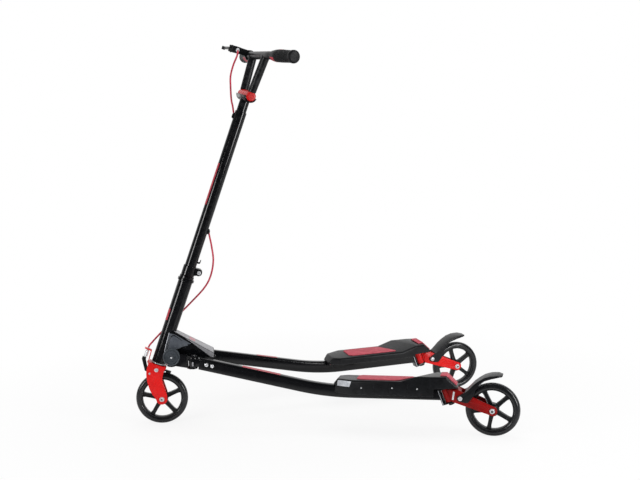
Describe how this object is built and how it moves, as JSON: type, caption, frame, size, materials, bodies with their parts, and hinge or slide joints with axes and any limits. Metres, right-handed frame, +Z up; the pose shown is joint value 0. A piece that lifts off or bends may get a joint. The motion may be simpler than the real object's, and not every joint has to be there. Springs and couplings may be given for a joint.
{
  "type": "swing scooter",
  "caption": "Swing scooter: black steering column with a hand brake over a red front fork, and two swinging footboard arms that end in red inclined castors with fender brakes.",
  "frame": {"origin": "on the floor, under the middle of the scooter's box", "axes": "+X from the front wheel towards the castors, +Y to the rider's right, +Z up from the floor"},
  "size_m": [1.0297, 0.5579, 1.054],
  "materials": {
    "black_paint": "gloss",
    "charcoal_paint": "satin",
    "red_paint": "gloss",
    "bright_steel": "satin",
    "pad_rubber": "matt",
    "cable_jacket": "satin",
    "grip_rubber": "matt",
    "wheel_tyre": "satin",
    "black_plastic": "matt"
  },
  "bodies": {
    "yoke": {"yoke": "black_paint", "hub_axle": "bright_steel", "pin_left": "bright_steel", "pin_right": "bright_steel"},
    "head": {"head_tube": "black_paint", "gusset": "charcoal_paint", "cup_upper": "black_paint", "cup_lower": "black_paint"},
    "steering": {"fork": "red_paint", "front_axle": "bright_steel", "rocker_bolt": "bright_steel", "column": "black_paint", "headset_nut": "black_paint", "port_upper": "black_plastic", "port_lower": "black_plastic", "collar_lower": "charcoal_paint", "collar_bolt": "bright_steel", "cable_stop": "red_paint", "adjuster": "bright_steel", "cable_upper": "cable_jacket", "cable_lower": "cable_jacket", "bar_stem": "black_paint", "bar_crown": "red_paint", "handlebar": "black_paint", "grip_left": "grip_rubber", "grip_right": "grip_rubber", "brake_perch": "black_plastic", "lever_adjuster": "bright_steel"},
    "front_wheel": {"front_tyre": "wheel_tyre", "front_core": "black_plastic"},
    "rocker": {"brake_rocker": "black_plastic", "brake_shoe": "grip_rubber"},
    "lever": {"brake_lever": "black_plastic"},
    "arm_left": {"arm_left": "black_paint", "knuckle_left": "charcoal_paint", "deck_left": "black_plastic", "front_pad_left": "pad_rubber", "heel_pad_left": "pad_rubber", "castor_mount_left": "charcoal_paint"},
    "arm_right": {"arm_right": "black_paint", "knuckle_right": "charcoal_paint", "deck_right": "black_plastic", "front_pad_right": "pad_rubber", "heel_pad_right": "pad_rubber", "castor_mount_right": "charcoal_paint"},
    "castor_left": {"castor_fork_left": "red_paint", "castor_axle_left": "bright_steel"},
    "castor_right": {"castor_fork_right": "red_paint", "castor_axle_right": "bright_steel"},
    "fender_left": {"fender_left": "black_plastic", "fender_strip_left": "bright_steel"},
    "fender_right": {"fender_right": "black_plastic", "fender_strip_right": "bright_steel"},
    "wheel_left": {"left_tyre": "wheel_tyre", "left_core": "black_plastic"},
    "wheel_right": {"right_tyre": "wheel_tyre", "right_core": "black_plastic"}
  },
  "joints": [
    {"name": "fold", "type": "hinge", "parent": "yoke", "child": "head", "pos_m": [-0.4107, 0.01, 0.198], "axis": [0, 1, 0], "range_deg": [0, 61]},
    {"name": "steering", "type": "hinge", "parent": "head", "child": "steering", "pos_m": [-0.4803, 0.01, 0.086], "axis": [0.3387, 0, 0.9409], "range_deg": [-55, 55], "deforming": ["cable_lower"]},
    {"name": "front_wheel_spin", "type": "hinge", "parent": "steering", "child": "front_wheel", "pos_m": [-0.44266, 0.01, 0.07245], "axis": [0, 1, 0], "continuous": true},
    {"name": "brake_lever", "type": "hinge", "parent": "steering", "child": "lever", "pos_m": [-0.21973, 0.11062, 1.04182], "axis": [-0.3265, -0.0205, -0.945], "range_deg": [0, 12], "stiffness_Nm_per_rad": 1.5, "springref_deg": -5.73},
    {"name": "brake_rocker", "type": "hinge", "parent": "steering", "child": "rocker", "pos_m": [-0.45489, 0.01, 0.15657], "axis": [0, 1, 0], "range_deg": [0, 1.6]},
    {"name": "arm_swing_left", "type": "hinge", "parent": "yoke", "child": "arm_left", "pos_m": [-0.3507, -0.0415, 0.1835], "axis": [0, 0, 1], "range_deg": [-8, 7]},
    {"name": "arm_swing_right", "type": "hinge", "parent": "yoke", "child": "arm_right", "pos_m": [-0.3507, 0.0615, 0.1835], "axis": [0, 0, 1], "range_deg": [-7, 8]},
    {"name": "castor_swivel_left", "type": "hinge", "parent": "arm_left", "child": "castor_left", "pos_m": [0.3283, -0.209, 0.108], "axis": [-0.3291, 0.0931, 0.9397], "range_deg": [-36.7, 43.3]},
    {"name": "castor_swivel_right", "type": "hinge", "parent": "arm_right", "child": "castor_right", "pos_m": [0.3283, 0.229, 0.108], "axis": [-0.3291, -0.0931, 0.9397], "range_deg": [-35.4, 44.6]},
    {"name": "fender_brake_left", "type": "hinge", "parent": "castor_left", "child": "fender_left", "pos_m": [0.36049, -0.21994, 0.10398], "axis": [0.3239, 0.9459, 0.0197], "range_deg": [0, 2], "stiffness_Nm_per_rad": 2, "springref_deg": -5.73},
    {"name": "fender_brake_right", "type": "hinge", "parent": "castor_right", "child": "fender_right", "pos_m": [0.36159, 0.23587, 0.10397], "axis": [-0.1989, 0.9796, 0.0274], "range_deg": [0, 2], "stiffness_Nm_per_rad": 2, "springref_deg": -5.73},
    {"name": "left_wheel_spin", "type": "hinge", "parent": "castor_left", "child": "wheel_left", "pos_m": [0.44015, -0.24656, 0.07244], "axis": [0.3239, 0.9459, 0.0197], "continuous": true},
    {"name": "right_wheel_spin", "type": "hinge", "parent": "castor_right", "child": "wheel_right", "pos_m": [0.44371, 0.25343, 0.07239], "axis": [-0.1989, 0.9796, 0.0274], "continuous": true}
  ],
  "couplings": [
    {"joint": "brake_rocker", "follows": "brake_lever", "ratio": 0.13}
  ]
}
